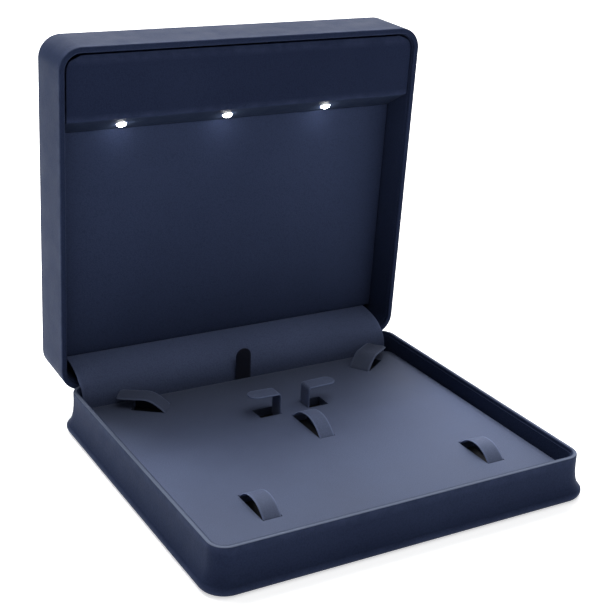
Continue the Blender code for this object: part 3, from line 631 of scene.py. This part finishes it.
# ---- hinge apron ----
def apron():
    """The leatherette over the hinges, glued to the tray behind the pad and to the lid's lining."""
    low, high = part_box("hinge_cover")
    foot = Vector((0.0, low.y + 0.0005, PAD_TOP))
    top = LID @ Vector((0.0, PANEL_BACK_Y + 0.0006, PANEL_Z + 0.0004))
    reach, rise = top.y - foot.y, top.z - foot.z
    half = high.x - 0.0002
    rows = [(foot.y, low.z + 0.0002), (foot.y, 0.0080), (foot.y, 0.0110)]
    for i in range(25):
        a = math.pi / 2 * i / 24
        rows.append((top.y - reach * math.cos(a), foot.z + rise * math.sin(a) ** 0.75))
    columns = 120
    thickness = STRIP
    verts, faces, wear_and_painted_light = [], [], []
    for layer in range(2):
        for k, (y, z) in enumerate(rows):
            before, after = Vector(rows[max(k - 1, 0)]), Vector(rows[min(k + 1, len(rows) - 1)])
            along = (after - before).normalized()
            outward = Vector((-along.y, along.x))
            share = max(0.0, min(1.0, (k - 2) / 24.0))
            swell = math.sin(math.pi * share)
            for i in range(columns + 1):
                u = -1.0 + 2.0 * i / columns
                x = half * u
                ripple = 0.00050 * swell * noise.noise(Vector((x * 22.0, share * 1.2, 3.0)))
                ripple += 0.00016 * swell * noise.noise(Vector((x * 70.0, share * 4.0, 9.0)))
                end = max(0.0, abs(u) - 0.975) / 0.025
                lift = ripple - 0.0006 * end * end * swell - thickness * layer + thickness / 2
                verts.append((x, y + outward.x * lift, z + outward.y * lift))
                wear_and_painted_light.append(0.6 if abs(u) > 0.985 else 0.0)
    width, count = columns + 1, len(rows)

    def vertex(layer, k, i):
        return (layer * count + k) * width + i

    for layer in range(2):
        for k in range(count - 1):
            for i in range(columns):
                faces.append((vertex(layer, k, i), vertex(layer, k, i + 1), vertex(layer, k + 1, i + 1),
                              vertex(layer, k + 1, i)))
    for k in range(count - 1):
        for i in (0, columns):
            faces.append((vertex(0, k, i), vertex(0, k + 1, i), vertex(1, k + 1, i), vertex(1, k, i)))
    for i in range(columns):
        for k in (0, count - 1):
            faces.append((vertex(0, k, i), vertex(0, k, i + 1), vertex(1, k, i + 1), vertex(1, k, i)))
    piece = finish_mesh("hinge_apron", verts, faces, APRON_LIT, None, wear_and_painted_light, 60.0)
    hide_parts("hinge_cover")
    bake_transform(piece)


# ---- insert ----
def middle_of(node):
    """The middle of a node's box and its size."""
    low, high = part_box(node)
    return (low + high) / 2, high - low


def insert():
    """The velvet pad with its slots, the straps, flaps and tongues in them, and the tab behind it."""
    low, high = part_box("insert_pad")
    half_x, half_y = (high.x - low.x) / 2, (high.y - low.y) / 2
    centre = (high.y + low.y) / 2
    corner = CORNER - WALL - 0.0005
    edge = 0.0009
    sections = [(half_x, half_y, corner, PAD_LOW), (half_x, half_y, corner, PAD_TOP - edge)]
    for offset, z in quarter_turn(0.0, PAD_TOP - edge, edge, PAD_TOP, 5, "z"):
        sections.append((half_x - offset, half_y - offset, corner - offset, z))
    sections.append((half_x - 0.004, half_y - 0.004, corner - 0.004, PAD_TOP))
    pad = loft("pad_velvet", sections, VELVET, None, centre, wear_and_painted_light_at=[(3, 0.5), (4, 0.7), (5, 0.5)])
    windows = []
    tall = 3 * (PAD_TOP - PAD_LOW)

    for node in ("bracelet_strap_left", "bracelet_strap_right", "ring_strap"):
        middle, size = middle_of(node)
        rise = size.z - (PAD_TOP - PAD_LOW) - 0.0005
        half = size.y / 2
        path = []
        for i in range(33):
            a = -1.0 + 2.0 * i / 32
            along = math.sin(math.pi / 2 * a)
            z = PAD_TOP - 0.0004 + rise * (1.0 - abs(along) ** 2.2)
            path.append((middle.x, middle.y + along * (half - 0.0004), z))
        path = [(middle.x, path[0][1], PAD_LOW + 0.0008), *path, (middle.x, path[-1][1], PAD_LOW + 0.0008)]
        piece = band(node.replace("strap", "band"), path, (1, 0, 0), [size.x] * len(path), STRIP, VELVET)
        stand_for(piece, "insert", "suede", node)
        windows.append((Matrix.Translation((middle.x, middle.y, PAD_TOP)),
                        (size.x + 0.0006, size.y + 0.0010, tall)))

    for label, sign in (("left", -1), ("right", 1)):
        windows.append(earring_flap(label, sign, tall))
        windows.append(necklace_tongue(label, sign, tall))
    cut_windows(pad, windows)
    stand_for(pad, "insert", "suede", "insert_pad")

    middle, size = middle_of("pull_tab")
    top = middle.z + size.z / 2
    radius = size.x / 2
    rows = [(0.0080, 1.0), (PAD_TOP, 1.0), (PAD_TOP + 0.006, 1.0), (top - radius - 0.002, 1.0)]
    for i in range(13):
        a = math.pi / 2 * i / 12
        rows.append((top - radius + radius * math.sin(a), max(math.cos(a) ** 0.9, 0.10)))
    path = [(middle.x, middle.y + 0.0002 * math.sin((z - PAD_TOP) * 150.0), z) for z, _ in rows]
    piece = band("pull_tab_velvet", path, (1, 0, 0), [size.x * w for _, w in rows], 0.0008, VELVET_TAB)
    stand_for(piece, "insert", "suede", "pull_tab")


def earring_flap(label, sign, tall):
    """A leg that stands up from its slot and folds outwards into a leaf with a round end."""
    node = f"earring_flap_{label}"
    low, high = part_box(node)
    leg_x = (high.x if sign < 0 else low.x) + sign * STRIP / 2
    y = (low.y + high.y) / 2
    width = high.y - low.y
    leaf_z = high.z - STRIP / 2
    tip = low.x if sign < 0 else high.x
    bend = 0.0014
    path = [(leg_x, y, PAD_LOW + 0.0008), (leg_x, y, PAD_TOP), (leg_x, y, PAD_TOP + 0.006),
            (leg_x, y, leaf_z - bend - 0.0004)]
    for i in range(1, 8):
        a = math.pi / 2 * i / 7
        path.append((leg_x + sign * bend * (1 - math.cos(a)), y, leaf_z - 0.0004 - bend + bend * math.sin(a)))
    straight = abs(tip - leg_x) - bend - width / 2
    count = len(path)
    widths = [width * 0.98] * count
    for i in range(1, 4):
        path.append((leg_x + sign * (bend + straight * i / 3), y, leaf_z - 0.0004 + 0.0003 * i / 3))
        widths.append(width)
    for i in range(1, 12):
        a = math.pi / 2 * i / 11
        path.append((leg_x + sign * (bend + straight + width / 2 * math.sin(a)), y,
                     leaf_z - 0.0001 + 0.0001 * math.sin(a)))
        widths.append(width * max(math.cos(a), 0.12))
    piece = band(f"earring_leaf_{label}", path, (0, 1, 0), widths, STRIP, VELVET)
    stand_for(piece, "insert", "suede", node)
    start = leg_x - sign * 0.0008
    end = leg_x + sign * 0.0125
    return (Matrix.Translation(((start + end) / 2, y, PAD_TOP)), (abs(end - start), width + 0.0005, tall))


def necklace_tongue(label, sign, tall):
    """A tongue that rises from its slot towards the rear corner and ends straight, with eased corners."""
    node = f"necklace_tongue_{label}"
    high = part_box(node)[1]
    direction = Vector((sign * 0.0226, 0.016)).normalized()
    length, width, nip = 0.02769, 0.0130, 0.0022
    root = Vector((0.0055 + sign * 0.0629, 0.0655))
    rise = high.z - PAD_TOP - 0.0006
    path, widths = [], []
    spots = [i / 20 * (1.0 - nip / length) for i in range(21)]
    spots += [1.0 - nip / length * (1.0 - math.sin(math.pi / 2 * i / 8)) for i in range(1, 9)]
    for s in spots:
        z = PAD_TOP - 0.0003 + rise * math.sin(math.pi / 2 * min(s / 0.45, 1.0))
        z -= 0.0012 * max(s - 0.45, 0.0)
        place = root + direction * length * s
        path.append((place.x, place.y, z))
        beyond = max(s - 1.0 + nip / length, 0.0) / (nip / length)
        widths.append(width - 2.0 * nip * (1.0 - math.sqrt(max(1.0 - beyond ** 2, 0.0))))
    path.insert(0, (root.x, root.y, PAD_LOW + 0.0008))
    widths.insert(0, width)
    side = (-direction.y, direction.x, 0.0)
    piece = band(f"necklace_leaf_{label}", path, side, widths, STRIP, VELVET, crown=-0.0003 * sign)
    stand_for(piece, "insert", "suede", node)
    centre = root + direction * 0.0095
    turn = Matrix.Rotation(math.atan2(direction.y, direction.x), 4, "Z")
    return (Matrix.Translation((centre.x, centre.y, PAD_TOP)) @ turn, (0.0200, width + 0.0005, tall))


tray()
lid()
lid_lining()
header()
apron()
insert()


# ---- floor, light and camera ----
SENSOR = 36.0                     # millimetres
FOCAL = 1282.1 / 608.0            # the camera's focal length, in frame widths


def floor():
    """A wide pale floor just under the tray."""
    mesh = bpy.data.meshes.new("studio_floor")
    mesh.from_pydata([(-9, -9, 0), (9, -9, 0), (9, 9, 0), (-9, 9, 0)], [], [(0, 1, 2, 3)])
    made = bpy.data.objects.new("studio_floor", mesh)
    bpy.context.scene.collection.objects.link(made)
    made.location.z = -0.00002
    look, n, shader, where = new_material("pale_floor")
    link(n, n.mix(n.noise(where, 2.0, 3.0, 0.5), (0.85, 0.85, 0.85), (0.87, 0.87, 0.87)),
         shader.inputs["Base Color"])
    shader.inputs["Roughness"].default_value = 0.85
    shader.inputs["Emission Color"].default_value = (1.0, 1.0, 1.0, 1.0)
    shader.inputs["Emission Strength"].default_value = 0.60
    shader.inputs["Specular IOR Level"].default_value = 0.15
    mesh.materials.append(look)


def softbox(name, place, target, width, height, power):
    data = bpy.data.lights.new(name, "AREA")
    data.shape = "RECTANGLE"
    data.size, data.size_y = width, height
    data.energy = power
    made = bpy.data.objects.new(name, data)
    made.location = place
    made.rotation_euler = (Vector(target) - Vector(place)).to_track_quat("-Z", "Y").to_euler()
    bpy.context.scene.collection.objects.link(made)


def studio():
    """A white room, darker in front and at the left, and three softboxes."""
    world = bpy.data.worlds.new("studio")
    world.use_nodes = True
    n = Nodes(world.node_tree)
    where = n.add("ShaderNodeTexCoord").outputs["Generated"]
    parts = n.add("ShaderNodeSeparateXYZ", {0: where})
    back = n.remap(parts.outputs["Y"], -0.75, 0.55, 0.14, 0.85)
    left = n.remap(parts.outputs["X"], -0.7, 0.3, 0.20, 1.00)
    background = world.node_tree.nodes["Background"]
    background.inputs["Color"].default_value = (0.97, 0.985, 1.0, 1.0)
    link(n, n.math("MULTIPLY", back, left), background.inputs["Strength"])
    bpy.context.scene.world = world
    softbox("front_softbox", (0.0, -0.45, 1.50), (0.0, 0.05, 0.0), 1.3, 0.9, 5.5)
    softbox("top_softbox", (0.1, 0.90, 1.30), (0.0, 0.0, 0.0), 1.6, 0.9, 42.0)
    softbox("back_softbox", (0.9, 2.1, 0.95), (0.0, 0.0, 0.05), 3.2, 1.1, 20.0)


def camera(azimuth, elevation, roll, place, lens, shift):
    """A camera at a place, turned by degrees; the azimuth counts from straight in front."""
    data = bpy.data.cameras.new("camera")
    data.sensor_width = SENSOR
    data.lens = lens
    data.shift_x, data.shift_y = shift
    data.clip_start = 0.01
    made = bpy.data.objects.new("camera", data)
    bpy.context.scene.collection.objects.link(made)
    a, e, r = (math.radians(v) for v in (azimuth, elevation, roll))
    back = Vector((math.sin(a) * math.cos(e), -math.cos(a) * math.cos(e), math.sin(e)))
    right = Vector((math.cos(a), math.sin(a), 0.0))
    up = back.cross(right)
    turned_right = right * math.cos(r) + up * math.sin(r)
    turned_up = up * math.cos(r) - right * math.sin(r)
    turned = Matrix((turned_right, turned_up, back)).transposed().to_4x4()
    made.matrix_world = Matrix.Translation(place) @ turned
    bpy.context.scene.camera = made


floor()
studio()
camera(-29.404, 20.531, 2.024, (-0.3204, -0.5262, 0.3286), FOCAL * SENSOR, (0.0366, -0.0258))
bpy.context.scene.view_settings.view_transform = "Standard"
